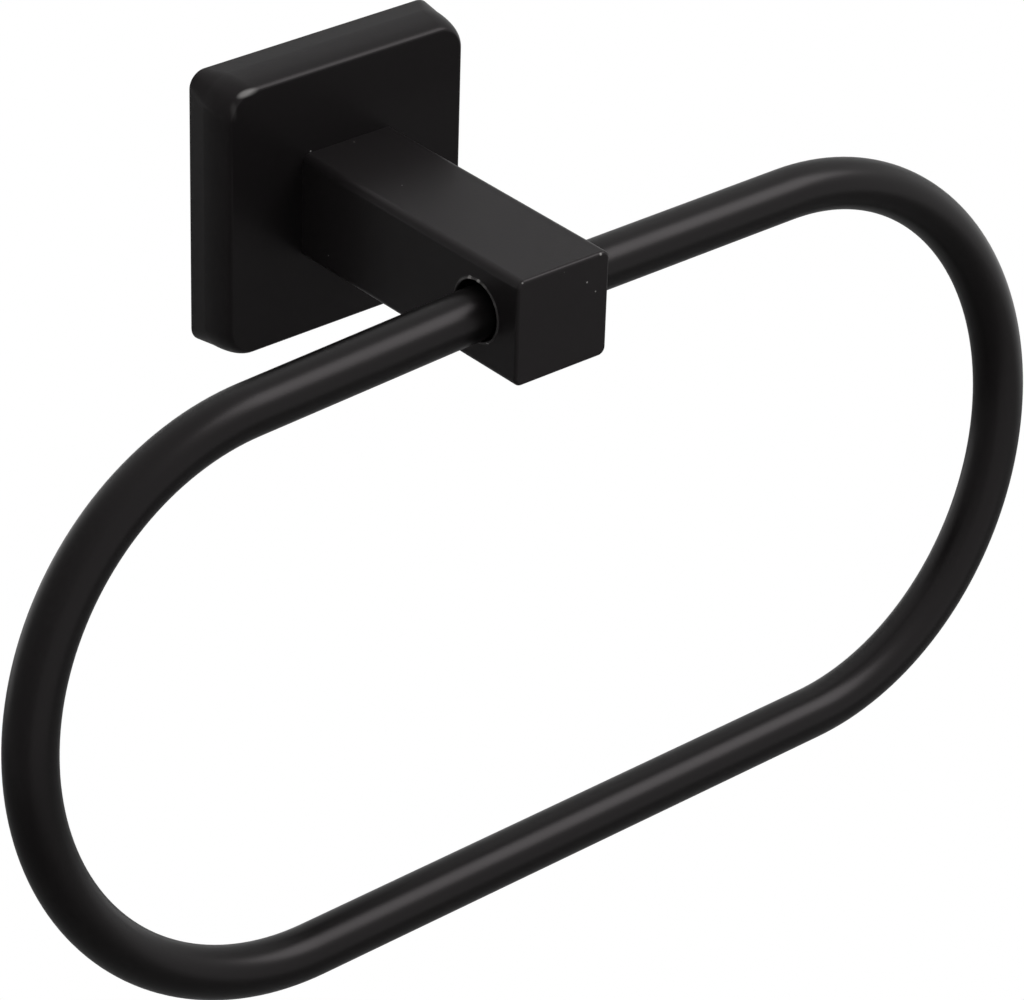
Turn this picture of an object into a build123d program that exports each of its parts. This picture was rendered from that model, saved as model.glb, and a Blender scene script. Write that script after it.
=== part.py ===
from build123d import *
import os
from math import cos, radians, sin, tan

os.makedirs("parts", exist_ok=True)

# Towel holder for a wall: a hoop of round bar swings in a square post on a square base.
# Origin in the middle of the wall face, +X to the right, -Y out of the wall, +Z up.
# Sizes are in millimetres and angles in degrees.

# Base cover, a shell that is open at the wall
base_side = 53.4
base_depth = 10.6
base_flare = 2.4
base_corner_radius = 5.5
base_front_radius = 2.8
cover_wall = 2.2
cover_front_wall = 3.0

# Post
post_side = 20.3
post_length = 59.7
post_edge_radius = 1.6

# Sockets for the hoop's two ends
socket_from_tip = 11.2
socket_depth = 8.0
socket_clearance = 0.5
socket_chamfer = 0.7

# Hoop, measured on the bar's centreline
bar_diameter = 9.5
bar_end_chamfer = 0.5
hoop_width = 221.9
hoop_height = 105.4
left_arm_droop = 1.7
right_arm_droop = 0.6
hoop_end_gap = 10.0

# How the hoop hangs in the sockets
hoop_swing = 7.9
hoop_tilt = 0.8
hoop_side_shift = 1.9
hoop_lift = 0.35

# Wall bracket, a tray with its floor on the wall
bracket_side = 46.0
bracket_front_gap = 1.6
screw_head_gap = 0.6
bracket_rim = 2.5
bracket_corner_radius = 3.0
pocket_corner_radius = 1.5
bracket_rim_chamfer = 0.5
wall_slot_spacing = 26.0
wall_slot_length = 9.0
wall_slot_width = 4.6

# Ribs in the cover that sit on the bracket's upper edge
rib_width = 3.0
rib_spacing = 26.0
rib_setback = 1.0

# Screw that holds the post on the cover
post_screw_diameter = 6.0
post_screw_length = 16.0
screw_head_diameter = 10.5
screw_head_height = 3.0
screw_head_chamfer = 0.8
screw_hex = 4.0
screw_hex_depth = 1.8
screw_end_chamfer = 0.6
thread_clearance = 0.05
screw_hole_clearance = 0.3
tapped_depth_spare = 2.0
washer_diameter = 12.0
washer_thickness = 1.0

# Pin that stops the post from turning
pin_diameter = 3.0
pin_length = 7.0
pin_height = 7.0
pin_setback = 0.5
pin_clearance = 0.05
pin_end_chamfer = 0.3

# Set screw in the underside of the cover
grub_diameter = 4.0
grub_length = 4.0
grub_from_wall = 3.5
grub_hex = 2.0
grub_hex_depth = 1.6
grub_end_chamfer = 0.4
grub_seat_depth = 0.3
grub_seat_clearance = 0.2
grub_boss_width = 9.0
grub_boss_gap = 0.4

# Places worked out from the sizes
cavity_depth = base_depth - cover_front_wall
cavity_side = base_side - 2 * cover_wall
cavity_corner_radius = base_corner_radius - cover_wall
base_front_side = base_side + 2 * base_depth * tan(radians(base_flare))
post_tip = base_depth + post_length
socket_from_wall = post_tip - socket_from_tip
bar_radius = bar_diameter / 2
socket_radius = bar_radius + socket_clearance
post_screw_radius = post_screw_diameter / 2
grub_radius = grub_diameter / 2
bracket_half = bracket_side / 2
bracket_height = cavity_depth - bracket_front_gap
bracket_floor = cavity_depth - washer_thickness - screw_head_height - screw_head_gap
grub_seat_height = -bracket_half + grub_seat_depth

# A sketch on the wall plane has X to the right and Z up, and is extruded out of the wall.
wall_plane = Plane.XZ
post_rear = Plane(origin=(0, -base_depth, 0), x_dir=(-1, 0, 0), z_dir=(0, 1, 0))
left_mouth = Plane(origin=(-post_side / 2, -socket_from_wall, 0), z_dir=(-1, 0, 0))
right_mouth = Plane(origin=(post_side / 2, -socket_from_wall, 0), z_dir=(1, 0, 0))

# Inside of the cover: two ribs and the boss of the set screw are left standing in it.
with BuildPart() as cover_cavity:
    with BuildSketch(wall_plane):
        RectangleRounded(cavity_side, cavity_side, cavity_corner_radius)
    extrude(amount=cavity_depth)
    with BuildSketch(wall_plane.offset(rib_setback)):
        with GridLocations(rib_spacing, 0, 2, 1):
            with Locations((0, bracket_half)):
                Rectangle(rib_width, cavity_side, align=(Align.CENTER, Align.MIN))
        with Locations((0, -bracket_half - grub_boss_gap)):
            Rectangle(grub_boss_width, cavity_side, align=(Align.CENTER, Align.MAX))
    extrude(amount=base_depth, mode=Mode.SUBTRACT)

# Base cover, a little wider in front than at the wall
with BuildPart() as base_cover:
    with BuildSketch(wall_plane):
        RectangleRounded(base_side, base_side, base_corner_radius)
    extrude(amount=base_depth, taper=-base_flare)
    fillet(base_cover.faces().sort_by(Axis.Y)[0].edges(), base_front_radius)
    add(cover_cavity.part, mode=Mode.SUBTRACT)
    with BuildSketch(wall_plane.offset(cavity_depth)):
        Circle(post_screw_radius + screw_hole_clearance)
        with Locations((0, pin_height)):
            Circle(pin_diameter / 2 + pin_clearance)
    extrude(amount=cover_front_wall, mode=Mode.SUBTRACT)
    with BuildSketch(Plane.XY.offset(-base_front_side / 2)):
        with Locations((0, -grub_from_wall)):
            Circle(grub_radius + thread_clearance)
    extrude(amount=base_front_side / 2 - bracket_half, mode=Mode.SUBTRACT)
base_cover.part.label = "base_cover"

# Post with a socket in each side, and a tapped hole and a pin hole in its rear
with BuildPart() as post:
    with BuildSketch(wall_plane.offset(base_depth)):
        Rectangle(post_side, post_side)
    extrude(amount=post_length)
    tip_edges, long_edges, rear_edges = post.edges().group_by(Axis.Y)
    fillet(tip_edges + long_edges, post_edge_radius)
    with Locations(left_mouth, right_mouth):
        Hole(radius=socket_radius, depth=socket_depth)
    mouths = post.edges().filter_by(GeomType.CIRCLE).group_by(Axis.X)
    chamfer(mouths[0] + mouths[-1], socket_chamfer)
    with Locations(post_rear):
        Hole(
            radius=post_screw_radius + thread_clearance,
            depth=post_screw_length - cover_front_wall - washer_thickness + tapped_depth_spare,
        )
        with Locations((0, pin_height)):
            Hole(radius=pin_diameter / 2 + pin_clearance, depth=pin_length + pin_setback - cover_front_wall)
post.part.label = "post"


def bend_radius(droop):
    """Radius of the end bend that runs in line with an arm of this droop and with the lower bar."""
    angle = radians(droop)
    drop = hoop_width / 2 * sin(angle)
    return (hoop_height * cos(angle) - drop) / (1 + cos(angle) - sin(angle))


def half_hoop(side, droop):
    """Arm end, arm's meeting with the bend, the bend's outermost point and the bend's end."""
    angle = radians(droop)
    radius = bend_radius(droop)
    centre_x = hoop_width / 2 - radius
    centre_y = radius - hoop_height
    arm_end = (side * hoop_end_gap / 2, -tan(angle) * hoop_end_gap / 2)
    bend_start = (side * (centre_x + radius * sin(angle)), centre_y + radius * cos(angle))
    bend_middle = (side * hoop_width / 2, centre_y)
    bend_end = (side * centre_x, -hoop_height)
    return arm_end, bend_start, bend_middle, bend_end


# The hoop's own plane, swung out of the vertical about the sockets' axis and tilted up on the right
swing = radians(hoop_swing)
tilt = radians(hoop_tilt)
hoop_plane = Plane(
    origin=(hoop_side_shift, -socket_from_wall, hoop_lift),
    x_dir=(cos(tilt), sin(tilt) * sin(swing), sin(tilt) * cos(swing)),
    z_dir=(0, -cos(swing), sin(swing)),
)
left_end, left_start, left_middle, left_low = half_hoop(-1, left_arm_droop)
right_end, right_start, right_middle, right_low = half_hoop(1, right_arm_droop)

# Hoop, one length of bar whose ends stay apart inside the post
with BuildPart() as towel_ring:
    with BuildLine(hoop_plane) as hoop:
        Line(left_end, left_start)
        ThreePointArc(left_start, left_middle, left_low)
        Line(left_low, right_low)
        ThreePointArc(right_low, right_middle, right_start)
        Line(right_start, right_end)
    with BuildSketch(Plane(origin=hoop.wire() @ 0, z_dir=hoop.wire() % 0)):
        Circle(bar_radius)
    sweep(path=hoop.wire())
    end_faces = towel_ring.faces().filter_by(GeomType.PLANE)
    chamfer(end_faces.edges(), bar_end_chamfer)
towel_ring.part.label = "towel_ring"

# Wall bracket with two slots for the wall screws and a seat for the set screw
with BuildPart() as wall_bracket:
    with BuildSketch(wall_plane):
        RectangleRounded(bracket_side, bracket_side, bracket_corner_radius)
    extrude(amount=bracket_height)
    chamfer(wall_bracket.faces().sort_by(Axis.Y)[0].edges(), bracket_rim_chamfer)
    pocket_side = bracket_side - 2 * bracket_rim
    with BuildSketch(wall_plane.offset(bracket_floor)):
        RectangleRounded(pocket_side, pocket_side, pocket_corner_radius)
    extrude(amount=bracket_height - bracket_floor, mode=Mode.SUBTRACT)
    with BuildSketch(wall_plane):
        with GridLocations(wall_slot_spacing, 0, 2, 1):
            SlotOverall(wall_slot_length, wall_slot_width)
    extrude(amount=bracket_floor, mode=Mode.SUBTRACT)
    with BuildSketch(Plane.XY.offset(-bracket_half)):
        with Locations((0, -grub_from_wall)):
            Circle(grub_radius + grub_seat_clearance)
    extrude(amount=grub_seat_depth, mode=Mode.SUBTRACT)
wall_bracket.part.label = "wall_bracket"

# Post screw, its head inside the cover
with BuildPart() as post_screw:
    with BuildSketch(wall_plane.offset(cavity_depth - washer_thickness)):
        Circle(post_screw_radius)
    extrude(amount=post_screw_length)
    chamfer(post_screw.faces().sort_by(Axis.Y)[0].edges(), screw_end_chamfer)
    with BuildSketch(wall_plane.offset(cavity_depth - washer_thickness)):
        Circle(screw_head_diameter / 2)
    extrude(amount=-screw_head_height)
    chamfer(post_screw.faces().sort_by(Axis.Y)[-1].edges(), screw_head_chamfer)
    with BuildSketch(wall_plane.offset(cavity_depth - washer_thickness - screw_head_height)):
        RegularPolygon(screw_hex / 2, 6, major_radius=False)
    extrude(amount=screw_hex_depth, mode=Mode.SUBTRACT)
post_screw.part.label = "post_screw"

# Washer under the screw's head
with BuildPart() as post_washer:
    with BuildSketch(wall_plane.offset(cavity_depth - washer_thickness)):
        Circle(washer_diameter / 2)
        Circle(post_screw_radius + screw_hole_clearance, mode=Mode.SUBTRACT)
    extrude(amount=washer_thickness)
post_washer.part.label = "post_washer"

# Pin through the cover's front into the post
with BuildPart() as locating_pin:
    with BuildSketch(wall_plane.offset(cavity_depth + pin_setback)):
        with Locations((0, pin_height)):
            Circle(pin_diameter / 2)
    extrude(amount=pin_length)
    chamfer(locating_pin.edges().filter_by(GeomType.CIRCLE), pin_end_chamfer)
locating_pin.part.label = "locating_pin"

# Set screw, its tip on the bracket's lower edge
with BuildPart() as grub_screw:
    with BuildSketch(Plane.XY.offset(grub_seat_height)):
        with Locations((0, -grub_from_wall)):
            Circle(grub_radius)
    extrude(amount=-grub_length)
    chamfer(grub_screw.edges().filter_by(GeomType.CIRCLE), grub_end_chamfer)
    with BuildSketch(Plane.XY.offset(grub_seat_height - grub_length)):
        with Locations((0, -grub_from_wall)):
            RegularPolygon(grub_hex / 2, 6, major_radius=False)
    extrude(amount=grub_hex_depth, mode=Mode.SUBTRACT)
grub_screw.part.label = "grub_screw"

pieces = (
    base_cover,
    post,
    towel_ring,
    wall_bracket,
    post_screw,
    post_washer,
    locating_pin,
    grub_screw,
)
for piece in pieces:
    export_step(piece.part, f"parts/{piece.part.label}.step")
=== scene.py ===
from math import cos, hypot, pi, radians, sin, tan

import bpy
from mathutils import Matrix, Vector


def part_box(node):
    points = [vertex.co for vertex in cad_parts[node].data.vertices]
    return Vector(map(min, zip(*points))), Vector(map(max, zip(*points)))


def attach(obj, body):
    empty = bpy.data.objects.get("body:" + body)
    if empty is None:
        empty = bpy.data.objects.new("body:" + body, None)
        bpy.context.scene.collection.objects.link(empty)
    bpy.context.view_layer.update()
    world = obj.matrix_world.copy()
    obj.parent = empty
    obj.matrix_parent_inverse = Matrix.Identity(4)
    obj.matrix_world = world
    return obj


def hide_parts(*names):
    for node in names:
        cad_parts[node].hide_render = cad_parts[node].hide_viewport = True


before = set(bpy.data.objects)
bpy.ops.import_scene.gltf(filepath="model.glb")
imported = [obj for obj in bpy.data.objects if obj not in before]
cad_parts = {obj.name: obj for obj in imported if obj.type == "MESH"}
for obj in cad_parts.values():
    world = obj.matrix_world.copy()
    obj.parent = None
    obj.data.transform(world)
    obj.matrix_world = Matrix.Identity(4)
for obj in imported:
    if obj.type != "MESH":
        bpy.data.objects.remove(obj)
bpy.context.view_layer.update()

# Towel holder in satin black paint: a hoop of round bar swings in a square post on a square base.
# Metres, +X to the right along the wall, -Y out of the wall, +Z up. The wall face is y = 0.

# Camera, to the left of the holder and above it
camera_azimuth = -40.754
camera_elevation = 30.839
camera_roll = 1.866
camera_distance = 0.87074
camera_aim = Vector((0.02857, -0.0251, -0.06747))
camera_lens = 163.85

# Modelling: how near points are merged, how near they count as the same place,
# how far outside a piece its cutters start, and how far joined pieces overlap
merge_distance = 1e-6
same_place = 1e-5
cut_margin = 0.001
join_overlap = 0.0004

# Base cover, an open shell whose front corners are rounder than those at the wall
cover_low, cover_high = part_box("base_cover")
base_depth = cover_high.y - cover_low.y
base_side = 0.0536
base_front_side = 0.05423
base_corner_radius = 0.0032
base_front_corner_radius = 0.0064
base_corner_steps = 16

# Its front round, which takes less off the sides than off the depth
base_front_drop = 0.00185
base_front_reach = 0.0065
base_front_steps = 24

# Its walls, ribs and boss
cover_wall = 0.0022
cover_front_wall = 0.0030
cavity_depth = base_depth - cover_front_wall
rib_width = 0.003
rib_spacing = 0.026
rib_setback = 0.001
boss_width = 0.009
boss_gap = 0.0004
bracket_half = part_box("wall_bracket")[1].z

# Post
post_reach = -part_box("post")[0].y
post_side = 0.0203
post_tip_setback = 0.0004
post_tip = post_reach - post_tip_setback
post_edge_radius = 0.0015
post_edge_steps = 8
post_front_radius = 0.0006
post_front_steps = 6

# Sockets in the post's two sides, and the thin bead of paint round each mouth
socket_from_tip = 0.0112
socket_from_wall = post_reach - socket_from_tip
socket_lift = 0.0003
socket_depth = 0.008
socket_radius = 0.0055
socket_chamfer = 0.0003
mouth_radius = socket_radius + socket_chamfer
mouth_sides = 96
bead_radius = 0.00022
bead_sides = 12

# Hidden holes, all on upright or level axes
post_screw_hole = 0.0033
post_tapped_hole = 0.00305
post_tapped_depth = 0.014
pin_hole = 0.00155
pin_height = 0.007
pin_hole_depth = 0.0045
grub_hole = 0.00205
grub_hole_depth = 0.006
grub_from_wall = 0.0035
hole_sides = 48
small_hole_sides = 32

# Hoop, measured on the bar's centreline
bar_radius = 0.004745
bar_end_chamfer = 0.0005
hoop_width = 0.2219
hoop_height = 0.1054
left_arm_droop = radians(1.7)
right_arm_droop = radians(0.6)
hoop_end_gap = 0.010
hoop_swing = radians(7.9)
hoop_tilt = radians(0.8)
hoop_side_shift = 0.0019
hoop_lift = 0.00035
bar_sides = 72
bend_steps = 90

# Satin black paint, whose gloss is clouded and grained, with a few specks of dust in it
base_paint = (0.0062, 0.0055, 0.0057, 1.0)
post_paint = (0.0090, 0.0080, 0.0083, 1.0)
hoop_paint = (0.0022, 0.0019, 0.0019, 1.0)
base_specular = 0.15
post_specular = 0.17
hoop_specular = 0.19
paint_tint = (1.0, 0.93, 0.95, 1.0)
paint_roughness = 0.31
cloud_scale = 90.0
cloud_gloss = 0.05
grain_scale = 2600.0
grain_gloss = 0.02
grain_bump = 0.06
bump_depth = 0.0001
speck_scale = 120.0
speck_size = 0.022
speck_rarity = 0.93
speck_strength = 0.5

# Worn paint and painted highlight: highlight patches as centre, reach and strength, chips as centre
# and radius. The chips are worn paint. The patches are a painted highlight on the cover's front
# upper left corner and a fainter painted tail of it down the left edge, in the same light grey as
# the wear.
wear_and_highlight_colour = (0.22, 0.215, 0.21, 1.0)
lip_wear = 0.09
lip_patches = 0.25
lip_patch_scale = 700.0
lip_patch_heights = (0.002, 0.0055)
# Painted highlight, not wear: a light patch where the corner catches a glint, and its tail
painted_highlight_patches = (
    ((-0.0222, -0.0102, 0.0255), (0.0032, 0.0008, 0.0009), 0.7),
    ((-0.0249, -0.0102, 0.0228), (0.0008, 0.0008, 0.0026), 0.08),
)
cover_chips = (
    ((-0.0083, -0.0106, 0.0104), 0.0002),
)
post_chips = (
    ((-0.0092, -0.0699, 0.0099), 0.0003),
    ((0.0081, -0.0699, 0.0099), 0.00035),
    ((0.0052, -0.0699, 0.0054), 0.00022),
    ((0.0072, -0.0699, 0.0030), 0.00018),
    ((-0.0101, -0.0536, 0.0096), 0.0002),
    ((-0.0101, -0.0183, -0.0065), 0.00015),
    ((-0.0033, -0.0301, 0.0101), 0.00015),
    ((0.0004, -0.0119, 0.0101), 0.00015),
    ((-0.0102, -0.0573, 0.0058), 0.0006),
    ((-0.0102, -0.0596, 0.0061), 0.0005),
    ((-0.0102, -0.0624, -0.0046), 0.0003),
)

# Bare metals of the hidden pieces
metal_shade = 0.8
metal_gloss = 0.15
metal_bump = 0.1

# Studio, where lamp and cards have their direction from the holder, their distance, their width
# and height, and then the lamp's power or the card's grey
white = (1.0, 1.0, 1.0, 1.0)
world_level = 0.8
studio_centre = Vector((0.0, -0.04, -0.04))
soft_lamp = ((0.56, -0.42, 0.75), 2.0, (1.15, 1.15), 20.0)
lower_card = ((0.0, 0.0, -1.0), 0.35, (1.8, 1.8), 0.25)
left_card = ((-1.0, 0.0, 0.35), 0.8, (2.2, 1.4), 0.80)
back_card = ((0.56, 0.65, 0.17), 0.8, (1.3, 0.75), 0.9)
card_weave = 400.0


def deselect_all():
    """Leaves edit mode and nothing selected, the CAD nodes included."""
    if bpy.context.object and bpy.context.object.mode != "OBJECT":
        bpy.ops.object.mode_set(mode="OBJECT")
    bpy.ops.object.select_all(action="DESELECT")


def take(piece):
    """Makes one piece the only selected and active object."""
    deselect_all()
    piece.select_set(True)
    bpy.context.view_layer.objects.active = piece


def settle(piece):
    """Moves the piece's turn and place into its mesh."""
    take(piece)
    bpy.ops.object.transform_apply(location=True, rotation=True, scale=True)


def pick(piece, kind, test):
    """Enters edit mode and selects only the parts of one kind whose points all pass the test."""
    take(piece)
    bpy.ops.object.mode_set(mode="EDIT")
    bpy.ops.mesh.select_mode(type=kind)
    bpy.ops.mesh.select_all(action="DESELECT")
    bpy.ops.object.mode_set(mode="OBJECT")
    mesh = piece.data
    parts = {"VERT": mesh.vertices, "EDGE": mesh.edges, "FACE": mesh.polygons}[kind]
    for part in parts:
        corners = [part.index] if kind == "VERT" else part.vertices
        part.select = all(test(mesh.vertices[i].co) for i in corners)
    bpy.ops.object.mode_set(mode="EDIT")


def finish_mesh(piece, angle=35):
    """Closed-up seams, outward faces and smooth shading whose flats stay flat."""
    take(piece)
    bpy.ops.object.mode_set(mode="EDIT")
    bpy.ops.mesh.select_all(action="SELECT")
    bpy.ops.mesh.remove_doubles(threshold=merge_distance)
    bpy.ops.mesh.normals_make_consistent(inside=False)
    bpy.ops.object.mode_set(mode="OBJECT")
    bpy.ops.object.shade_smooth_by_angle(angle=radians(angle))
    weighted = piece.modifiers.new("flat_faces", "WEIGHTED_NORMAL")
    weighted.keep_sharp = True
    weighted.weight = 100
    bpy.ops.object.modifier_apply(modifier=weighted.name)


def join(first, *others):
    """One object made of several."""
    take(first)
    for other in others:
        other.select_set(True)
    bpy.ops.object.join()
    return first


def cut(piece, cutter):
    """Takes the cutter's volume out of the piece."""
    take(piece)
    boolean = piece.modifiers.new("cut", "BOOLEAN")
    boolean.operation = "DIFFERENCE"
    boolean.solver = "EXACT"
    boolean.object = cutter
    bpy.ops.object.modifier_apply(modifier=boolean.name)
    bpy.data.objects.remove(cutter)


def drill(centre, axis, radius, depth, sides=hole_sides):
    """A cylinder that starts at a centre and runs along an axis, for a hole."""
    deselect_all()
    middle = Vector(centre) + Vector(axis) * depth / 2
    turn = Vector(axis).to_track_quat("Z", "Y").to_euler()
    bpy.ops.mesh.primitive_cylinder_add(
        vertices=sides, radius=radius, depth=depth, location=middle, rotation=turn
    )
    drill_bit = bpy.context.object
    settle(drill_bit)
    return drill_bit


def rounded_square(side, radius, y):
    """An upright square outline with round corners at the depth y."""
    deselect_all()
    bpy.ops.mesh.primitive_plane_add(size=side, location=(0, y, 0), rotation=(pi / 2, 0, 0))
    outline = bpy.context.object
    settle(outline)
    bpy.ops.object.mode_set(mode="EDIT")
    bpy.ops.mesh.select_all(action="SELECT")
    bpy.ops.mesh.bevel(
        offset=radius, offset_type="OFFSET", segments=base_corner_steps, profile=0.5,
        affect="VERTICES",
    )
    bpy.ops.mesh.delete(type="ONLY_FACE")
    bpy.ops.object.mode_set(mode="OBJECT")
    return outline


def box(name, low, high):
    """A closed block between two corners."""
    deselect_all()
    low, high = Vector(low), Vector(high)
    bpy.ops.mesh.primitive_cube_add(size=1, location=(low + high) / 2, scale=high - low)
    block = bpy.context.object
    block.name = name
    settle(block)
    return block


def make_base_cover():
    """The square shell on the wall: flared sides, round corners and front edge, and an open back."""
    round_start = base_front_reach - base_depth
    front_edge = round_start - base_front_drop
    back = rounded_square(base_side, base_corner_radius, 0)
    front = rounded_square(base_front_side, base_front_corner_radius, front_edge)
    cover = join(back, front)
    cover.name = "base_cover_shell"
    take(cover)
    bpy.ops.object.mode_set(mode="EDIT")
    bpy.ops.mesh.select_all(action="SELECT")
    bpy.ops.mesh.bridge_edge_loops()
    pick(cover, "EDGE", lambda point: point.y < front_edge + same_place)
    bpy.ops.mesh.edge_face_add()
    pick(cover, "EDGE", lambda point: point.y < front_edge + same_place)
    bpy.ops.mesh.bevel(
        offset=base_front_drop, offset_type="OFFSET", segments=base_front_steps, profile=0.5,
        affect="EDGES",
    )

    # The round is drawn out along the depth, so that it is shallow at the sides and tight in front
    pick(cover, "VERT", lambda point: point.y < round_start - merge_distance)
    stretch = base_front_reach / base_front_drop
    bpy.ops.transform.resize(value=(1, stretch, 1), center_override=(0, round_start, 0))

    # Cavity, open at the wall
    pick(cover, "EDGE", lambda point: point.y > -same_place)
    bpy.ops.mesh.edge_face_add()
    bpy.ops.mesh.inset(thickness=cover_wall, depth=0)
    bpy.ops.mesh.extrude_region_move(TRANSFORM_OT_translate={"value": (0, -cavity_depth, 0)})
    bpy.ops.object.mode_set(mode="OBJECT")
    finish_mesh(cover)

    # Holes for the post's screw and its pin
    outside = -base_depth - cut_margin
    cut(cover, drill((0, outside, 0), (0, 1, 0), post_screw_hole, base_depth))
    cut(cover, drill((0, outside, pin_height), (0, 1, 0), pin_hole, base_depth, small_hole_sides))

    # Two ribs that sit on the bracket's upper edge, and the boss of the set screw
    inner = base_side / 2 - cover_wall + join_overlap
    cavity_floor = -cavity_depth - join_overlap
    pieces = []
    for side in (-1, 1):
        middle = side * rib_spacing / 2
        pieces.append(box(
            "rib",
            (middle - rib_width / 2, cavity_floor, bracket_half),
            (middle + rib_width / 2, -rib_setback, inner),
        ))
    pieces.append(box(
        "boss",
        (-boss_width / 2, cavity_floor, -inner),
        (boss_width / 2, -rib_setback, -bracket_half - boss_gap),
    ))
    join(cover, *pieces)

    # Hole for the set screw, through the underside and the boss
    below = (0, -grub_from_wall, -base_front_side / 2 - cut_margin)
    cut(cover, drill(below, (0, 0, 1), grub_hole, grub_hole_depth, small_hole_sides))
    finish_mesh(cover)
    return cover


def socket_cutter(side):
    """The volume of one socket: a blind hole whose mouth is chamfered."""
    deselect_all()
    face = side * post_side / 2
    profile = (
        (face - side * socket_depth, socket_radius),
        (face - side * socket_chamfer, socket_radius),
        (face + side * socket_chamfer, socket_radius + 2 * socket_chamfer),
    )
    bpy.ops.mesh.primitive_circle_add(
        vertices=mouth_sides, radius=profile[0][1], fill_type="NGON", rotation=(0, pi / 2, 0),
        location=(profile[0][0], -socket_from_wall, socket_lift),
    )
    cutter = bpy.context.object
    settle(cutter)
    bpy.ops.object.mode_set(mode="EDIT")
    bpy.ops.mesh.select_all(action="SELECT")
    for (x, radius), (next_x, next_radius) in zip(profile, profile[1:]):
        bpy.ops.mesh.extrude_region_move(TRANSFORM_OT_translate={"value": (next_x - x, 0, 0)})
        grow = next_radius / radius
        middle = (next_x, -socket_from_wall, socket_lift)
        bpy.ops.transform.resize(value=(1, grow, grow), center_override=middle)
    bpy.ops.mesh.select_all(action="SELECT")
    bpy.ops.mesh.normals_make_consistent(inside=False)
    bpy.ops.object.mode_set(mode="OBJECT")
    return cutter


def make_post():
    """The square bar: rounded edges, a chamfered socket in each side and two holes in its rear."""
    half = post_side / 2
    post = box("square_post", (-half, -post_tip, -half), (half, -base_depth, half))
    for x, z in ((-half, -half), (-half, half), (half, -half), (half, half)):
        pick(post, "EDGE", lambda point: hypot(point.x - x, point.z - z) < same_place)
        bpy.ops.mesh.bevel(
            offset=post_edge_radius, offset_type="OFFSET", segments=post_edge_steps, profile=0.5,
            affect="EDGES",
        )
    pick(post, "EDGE", lambda point: point.y < -post_tip + same_place)
    bpy.ops.mesh.bevel(
        offset=post_front_radius, offset_type="OFFSET", segments=post_front_steps, profile=0.5,
        affect="EDGES",
    )
    bpy.ops.object.mode_set(mode="OBJECT")
    finish_mesh(post)
    for side in (-1, 1):
        cut(post, socket_cutter(side))
    behind = -base_depth + cut_margin
    tapped_depth, pin_depth = post_tapped_depth + cut_margin, pin_hole_depth + cut_margin
    cut(post, drill((0, behind, 0), (0, -1, 0), post_tapped_hole, tapped_depth))
    cut(post, drill((0, behind, pin_height), (0, -1, 0), pin_hole, pin_depth, small_hole_sides))
    finish_mesh(post)

    # A thin bead of paint round each mouth
    for side in (-1, 1):
        deselect_all()
        bpy.ops.mesh.primitive_torus_add(
            major_radius=mouth_radius, minor_radius=bead_radius,
            major_segments=mouth_sides, minor_segments=bead_sides,
            location=(side * half, -socket_from_wall, socket_lift), rotation=(0, pi / 2, 0),
        )
        bead = bpy.context.object
        settle(bead)
        bpy.ops.object.shade_smooth()
        join(post, bead)
    return post


def bend_radius(droop):
    """Radius of the end bend that is tangent to an arm of this droop and to the lower bar."""
    drop = hoop_width / 2 * sin(droop)
    return (hoop_height * cos(droop) - drop) / (1 + cos(droop) - sin(droop))


def push(to_x, to_z, from_x, from_z):
    """Extrudes the selected ring of edges straight from one point of the hoop to another."""
    step = (to_x - from_x, 0, to_z - from_z)
    bpy.ops.mesh.extrude_region_move(TRANSFORM_OT_translate={"value": step})


def make_towel_hoop():
    """The hoop: a ring of edges pushed along the left arm, round both bends and up the right arm."""
    left_radius, right_radius = bend_radius(left_arm_droop), bend_radius(right_arm_droop)
    left_centre = (-(hoop_width / 2 - left_radius), left_radius - hoop_height)
    right_centre = (hoop_width / 2 - right_radius, right_radius - hoop_height)
    end_x = hoop_end_gap / 2
    left_end = (-end_x, -tan(left_arm_droop) * end_x)
    right_end = (end_x, -tan(right_arm_droop) * end_x)
    left_start = (
        left_centre[0] - left_radius * sin(left_arm_droop),
        left_centre[1] + left_radius * cos(left_arm_droop),
    )
    right_start = (
        right_centre[0] + right_radius * sin(right_arm_droop),
        right_centre[1] + right_radius * cos(right_arm_droop),
    )
    deselect_all()
    bpy.ops.mesh.primitive_circle_add(
        vertices=bar_sides, radius=bar_radius, location=(left_end[0], 0, left_end[1]),
        rotation=(0, pi / 2 - left_arm_droop, 0),
    )
    hoop = bpy.context.object
    hoop.name = "towel_hoop"
    settle(hoop)
    bpy.ops.object.mode_set(mode="EDIT")
    bpy.ops.mesh.select_all(action="SELECT")
    push(*left_start, *left_end)
    bpy.ops.mesh.spin(
        steps=bend_steps, angle=pi - left_arm_droop, center=(left_centre[0], 0, left_centre[1]),
        axis=(0, 1, 0),
    )
    push(right_centre[0], -hoop_height, left_centre[0], -hoop_height)
    bpy.ops.mesh.spin(
        steps=bend_steps, angle=pi - right_arm_droop, center=(right_centre[0], 0, right_centre[1]),
        axis=(0, 1, 0),
    )
    push(*right_end, *right_start)
    bpy.ops.object.mode_set(mode="OBJECT")

    # Both ends are closed and chamfered
    for end in (left_end, right_end):
        place = Vector((end[0], 0, end[1]))
        pick(hoop, "EDGE", lambda point: (point - place).length < bar_radius + same_place)
        bpy.ops.mesh.edge_face_add()
        bpy.ops.mesh.bevel(offset=bar_end_chamfer, offset_type="OFFSET", segments=1, affect="EDGES")
    bpy.ops.object.mode_set(mode="OBJECT")
    swing = Matrix.Rotation(hoop_swing, 4, "X").inverted()
    tilt = Matrix.Rotation(hoop_tilt, 4, "Y").inverted()
    seat = Matrix.Translation((hoop_side_shift, -socket_from_wall, hoop_lift))
    hoop.matrix_world = seat @ (swing @ tilt)
    settle(hoop)
    finish_mesh(hoop)
    return hoop


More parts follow.
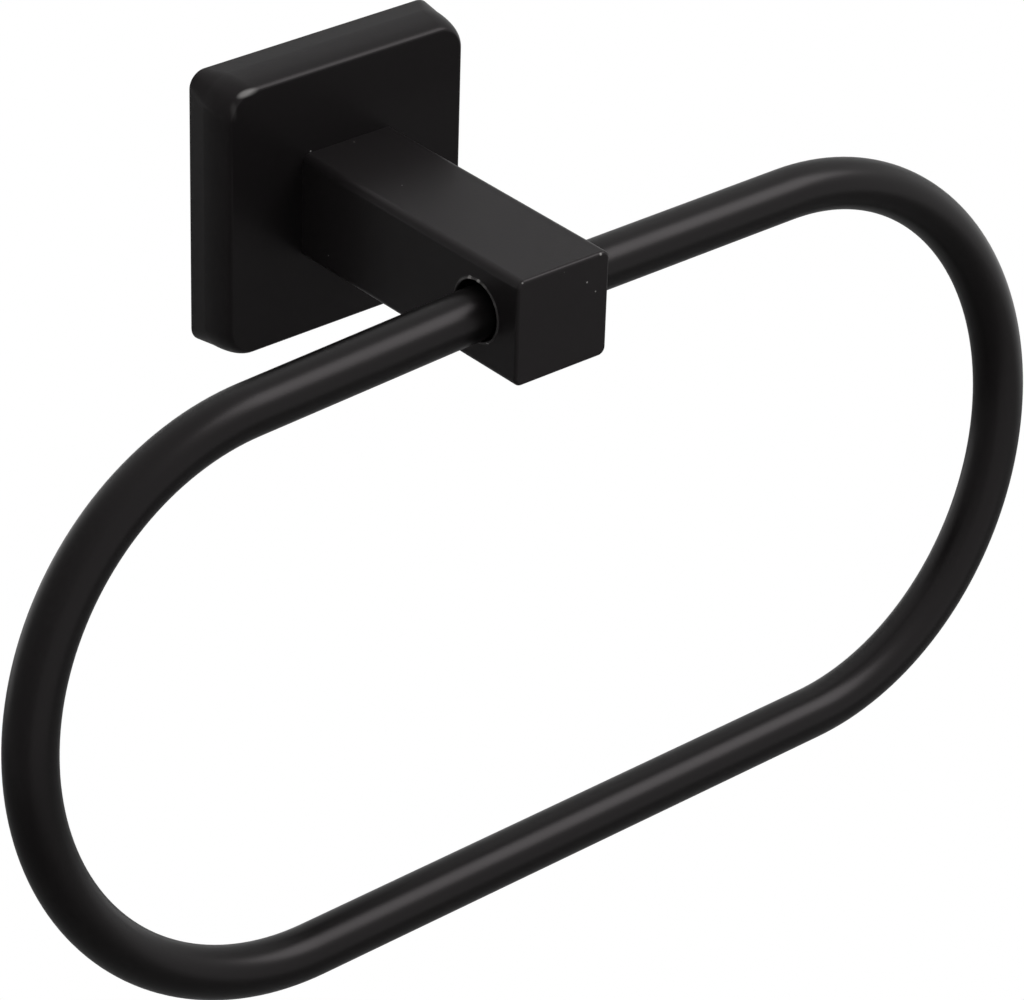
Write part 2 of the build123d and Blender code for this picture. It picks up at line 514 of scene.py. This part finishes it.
class Value:
    """A shader socket that can be added, multiplied and compared in plain arithmetic."""

    def __init__(self, finish, socket):
        self.finish = finish
        self.socket = socket

    def maths(self, operation, *values):
        return self.finish.node("ShaderNodeMath", {"operation": operation}, dict(enumerate(values)))

    def __add__(self, other):
        return self.maths("ADD", self, other)

    def __sub__(self, other):
        return self.maths("SUBTRACT", self, other)

    def __mul__(self, other):
        return self.maths("MULTIPLY", self, other)

    def __pow__(self, other):
        return self.maths("POWER", self, other)

    def __radd__(self, other):
        return self.maths("ADD", other, self)

    def __rsub__(self, other):
        return self.maths("SUBTRACT", other, self)

    def __rmul__(self, other):
        return self.maths("MULTIPLY", other, self)

    def __abs__(self):
        return self.maths("ABSOLUTE", self)

    def __lt__(self, other):
        return self.maths("LESS_THAN", self, other)

    def __gt__(self, other):
        return self.maths("GREATER_THAN", self, other)

    def ramp(self, start, end):
        """0 at the start value and 1 at the end value, smooth between them."""
        return self.finish.node(
            "ShaderNodeMapRange",
            {"interpolation_type": "SMOOTHSTEP"},
            {"Value": self, "From Min": start, "From Max": end},
        )


class Finish:
    """A node tree whose nodes are made and linked by one method."""

    def __init__(self, tree):
        self.tree = tree

    def node(self, kind, settings=None, values=None, output=0):
        """A new node: its settings first, then its values and links. Gives one of its outputs."""
        made = self.tree.nodes.new(kind)
        for name, setting in (settings or {}).items():
            setattr(made, name, setting)
        for key, value in (values or {}).items():
            self.feed(made.inputs[key], value)
        return Value(self, made.outputs[output])

    def feed(self, socket, value):
        if isinstance(value, Value):
            self.tree.links.new(value.socket, socket)
        else:
            socket.default_value = value

    def coordinates(self):
        return self.node("ShaderNodeTexCoord", output="Object")

    def axes(self, vector):
        """The x, y and z of a vector."""
        split = self.node("ShaderNodeSeparateXYZ", values={"Vector": vector})
        return [Value(self, socket) for socket in split.socket.node.outputs]

    def noise(self, vector, scale, detail=2.0):
        return self.node(
            "ShaderNodeTexNoise", values={"Vector": vector, "Scale": scale, "Detail": detail}
        )

    def blend(self, factor, first, second):
        """A colour between two colours."""
        values = {"Factor": factor, 6: first, 7: second}
        return self.node("ShaderNodeMix", {"data_type": "RGBA"}, values, output=2)


def new_material(name):
    """A material with a bare Principled shader."""
    material = bpy.data.materials.new(name)
    material.use_nodes = True
    finish = Finish(material.node_tree)
    return material, finish, material.node_tree.nodes["Principled BSDF"].inputs


def cover_painted_highlight(finish, place):
    """Painted highlight: a light patch on the front upper left corner that stands in for its glint,
    with a fainter painted tail down the left edge.
    """
    wear_and_highlight_mask = 0.0
    for centre, reach, strength in painted_highlight_patches:
        off = finish.node("ShaderNodeVectorMath", {"operation": "SUBTRACT"}, {0: place, 1: centre})
        off = finish.node("ShaderNodeVectorMath", {"operation": "DIVIDE"}, {0: off, 1: reach})
        far = finish.node("ShaderNodeVectorMath", {"operation": "LENGTH"}, {0: off}, output=1)
        wear_and_highlight_mask = wear_and_highlight_mask + strength * far.ramp(1.0, 0.25)
    return wear_and_highlight_mask


def post_wear(finish, place):
    """Paint that is thin on the sockets' chamfers and lips, and patchy on their upper part."""
    x, y, z = finish.axes(place)
    from_axis = ((y + socket_from_wall) ** 2 + (z - socket_lift) ** 2) ** 0.5
    near_side = abs(x).ramp(post_side / 2 - socket_chamfer, post_side / 2 - socket_chamfer / 2)
    lip = from_axis.ramp(mouth_radius + 2.0 * bead_radius, mouth_radius + bead_radius)
    patchy = finish.noise(place, lip_patch_scale).ramp(0.35, 0.65)
    upper = z.ramp(*lip_patch_heights)
    return lip * near_side * (lip_wear + lip_patches * patchy * upper)


def chips(finish, place, spots):
    """Small chips in the paint, each at its own place and of its own radius."""
    wear_and_highlight_mask = 0.0
    for centre, radius in spots:
        values = {0: place, 1: centre}
        far = finish.node("ShaderNodeVectorMath", {"operation": "DISTANCE"}, values, output=1)
        wear_and_highlight_mask = wear_and_highlight_mask + far.ramp(radius, 0.5 * radius)
    return wear_and_highlight_mask


def make_satin_black(name, colour, specular, wear_and_highlight=None, spots=()):
    """Satin black paint with a fine grain, faint shifts in gloss and a few specks of dust."""
    material, finish, shader = new_material(name)
    place = finish.coordinates()
    cloud = finish.noise(place, cloud_scale)
    grain = finish.noise(place, grain_scale, 1.0)
    cell = finish.node("ShaderNodeTexVoronoi", values={"Vector": place, "Scale": speck_scale})
    chance = finish.node("ShaderNodeSeparateColor", values={
        "Color": Value(finish, cell.socket.node.outputs["Color"]),
    })
    speck = (cell < speck_size) * (chance > speck_rarity)
    wear_and_highlight_mask = speck * speck_strength + chips(finish, place, spots)
    # The cover gets a painted highlight here, the post worn paint round its sockets' lips
    if wear_and_highlight:
        wear_and_highlight_mask = wear_and_highlight_mask + wear_and_highlight(finish, place)
    wear_and_highlight_mask = wear_and_highlight_mask.maths("MINIMUM", wear_and_highlight_mask, 1.0)
    roughness = paint_roughness + cloud_gloss * (cloud - 0.5) + grain_gloss * (grain - 0.5)
    finish.feed(shader["Base Color"], finish.blend(wear_and_highlight_mask, colour, wear_and_highlight_colour))
    finish.feed(shader["Roughness"], roughness)
    shader["Specular IOR Level"].default_value = specular
    shader["Specular Tint"].default_value = paint_tint
    bump = finish.node(
        "ShaderNodeBump", values={"Strength": grain_bump, "Distance": bump_depth, "Height": grain}
    )
    finish.feed(shader["Normal"], bump)
    return material


def make_bare_metal(name, colour, roughness, scale):
    """Bare or plated metal with a cloudy, slightly uneven gloss, for the hidden pieces."""
    material, finish, shader = new_material(name)
    place = finish.coordinates()
    cloud = finish.noise(place, scale, 3.0)
    dark = [metal_shade * part for part in colour] + [1.0]
    finish.feed(shader["Base Color"], finish.blend(cloud, dark, [*colour, 1.0]))
    finish.feed(shader["Roughness"], roughness + metal_gloss * (cloud - 0.5))
    shader["Metallic"].default_value = 1.0
    bump = finish.node(
        "ShaderNodeBump", values={"Strength": metal_bump, "Distance": bump_depth, "Height": cloud}
    )
    finish.feed(shader["Normal"], bump)
    return material


def make_studio():
    """A world that is white to the camera and in reflections, and lights the holder more dimly."""
    world = bpy.data.worlds.new("white_studio")
    world.use_nodes = True
    bpy.context.scene.world = world
    finish = Finish(world.node_tree)
    sight = finish.node("ShaderNodeLightPath", output="Is Camera Ray")
    outputs = sight.socket.node.outputs
    mirrored = Value(finish, outputs["Is Glossy Ray"])
    see_through = Value(finish, outputs["Is Transmission Ray"])
    seen = sight + mirrored + see_through
    values = {"Color": white, "Strength": world_level}
    lighting = finish.node("ShaderNodeBackground", values=values)
    backdrop = finish.node("ShaderNodeBackground", values={"Color": white, "Strength": 1.0})
    surface = world.node_tree.nodes["World Output"].inputs["Surface"]
    mixed = finish.node("ShaderNodeMixShader", values={0: seen, 1: lighting, 2: backdrop})
    finish.feed(surface, mixed)


def aim_at_holder(thing, direction, distance):
    """Places a thing out from the holder and turns its face to the holder."""
    away = Vector(direction).normalized()
    thing.location = studio_centre + away * distance
    thing.rotation_euler = away.to_track_quat("Z", "Y").to_euler()


def make_lamp(name, direction, distance, size, energy):
    """A rectangular soft lamp that faces the holder."""
    deselect_all()
    bpy.ops.object.light_add(type="AREA")
    lamp = bpy.context.object
    lamp.name = name
    lamp.data.shape = "RECTANGLE"
    lamp.data.size, lamp.data.size_y = size
    lamp.data.energy = energy
    aim_at_holder(lamp, direction, distance)


def make_card(name, direction, distance, size, grey):
    """A matt grey card that the camera doesn't see, and that darkens the faces turned to it."""
    deselect_all()
    bpy.ops.mesh.primitive_plane_add(size=1)
    card = bpy.context.object
    card.name = name
    card.scale = (size[0], size[1], 1.0)
    aim_at_holder(card, direction, distance)
    card.visible_camera = False
    material, finish, shader = new_material(name)
    cloth = finish.noise(finish.coordinates(), card_weave)
    darker, lighter = ([share * grey] * 3 + [1.0] for share in (0.95, 1.05))
    finish.feed(shader["Base Color"], finish.blend(cloth, darker, lighter))
    shader["Roughness"].default_value = 1.0
    shader["Specular IOR Level"].default_value = 0.0
    card.data.materials.append(material)


def make_camera():
    """A camera at the stated angles round its aim, rolled a little about its own line of sight."""
    azimuth, elevation = radians(camera_azimuth), radians(camera_elevation)
    back = Vector((sin(azimuth) * cos(elevation), -cos(azimuth) * cos(elevation), sin(elevation)))
    bpy.ops.object.camera_add()
    camera = bpy.context.object
    camera.name = "camera"
    camera.data.lens = camera_lens
    camera.data.sensor_width = 36.0
    camera.rotation_mode = "QUATERNION"
    camera.location = camera_aim + back * camera_distance
    roll = Matrix.Rotation(radians(camera_roll), 3, "Z")
    turned = back.to_track_quat("Z", "Y").to_matrix() @ roll
    camera.rotation_quaternion = turned.to_quaternion()
    bpy.context.scene.camera = camera


# The scene
make_camera()
make_studio()
make_lamp("soft_lamp", *soft_lamp)
make_card("lower_card", *lower_card)
make_card("left_card", *left_card)
make_card("back_card", *back_card)

cover = make_base_cover()
post = make_post()
hoop = make_towel_hoop()
cover_paint = make_satin_black("cover_paint", base_paint, base_specular, cover_painted_highlight, cover_chips)
square_paint = make_satin_black("post_paint", post_paint, post_specular, post_wear, post_chips)
round_paint = make_satin_black("hoop_paint", hoop_paint, hoop_specular)
for piece, node, body, paint in (
    (cover, "base_cover", "mount", cover_paint),
    (post, "post", "mount", square_paint),
    (hoop, "towel_ring", "ring", round_paint),
):
    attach(piece, body)
    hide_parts(node)
    piece.data.materials.clear()
    piece.data.materials.append(paint)

casting = make_bare_metal("zinc_casting", (0.50, 0.50, 0.51), roughness=0.55, scale=300.0)
plated = make_bare_metal("plated_steel", (0.62, 0.62, 0.64), roughness=0.35, scale=200.0)
blackened = make_bare_metal("black_steel", (0.06, 0.06, 0.065), roughness=0.45, scale=200.0)
for node, material in (
    ("base_cover", cover_paint),
    ("post", square_paint),
    ("towel_ring", round_paint),
    ("wall_bracket", casting),
    ("post_screw", plated),
    ("post_washer", plated),
    ("locating_pin", plated),
    ("grub_screw", blackened),
):
    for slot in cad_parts[node].material_slots:
        slot.material = material

bpy.context.scene.view_settings.view_transform = "Standard"
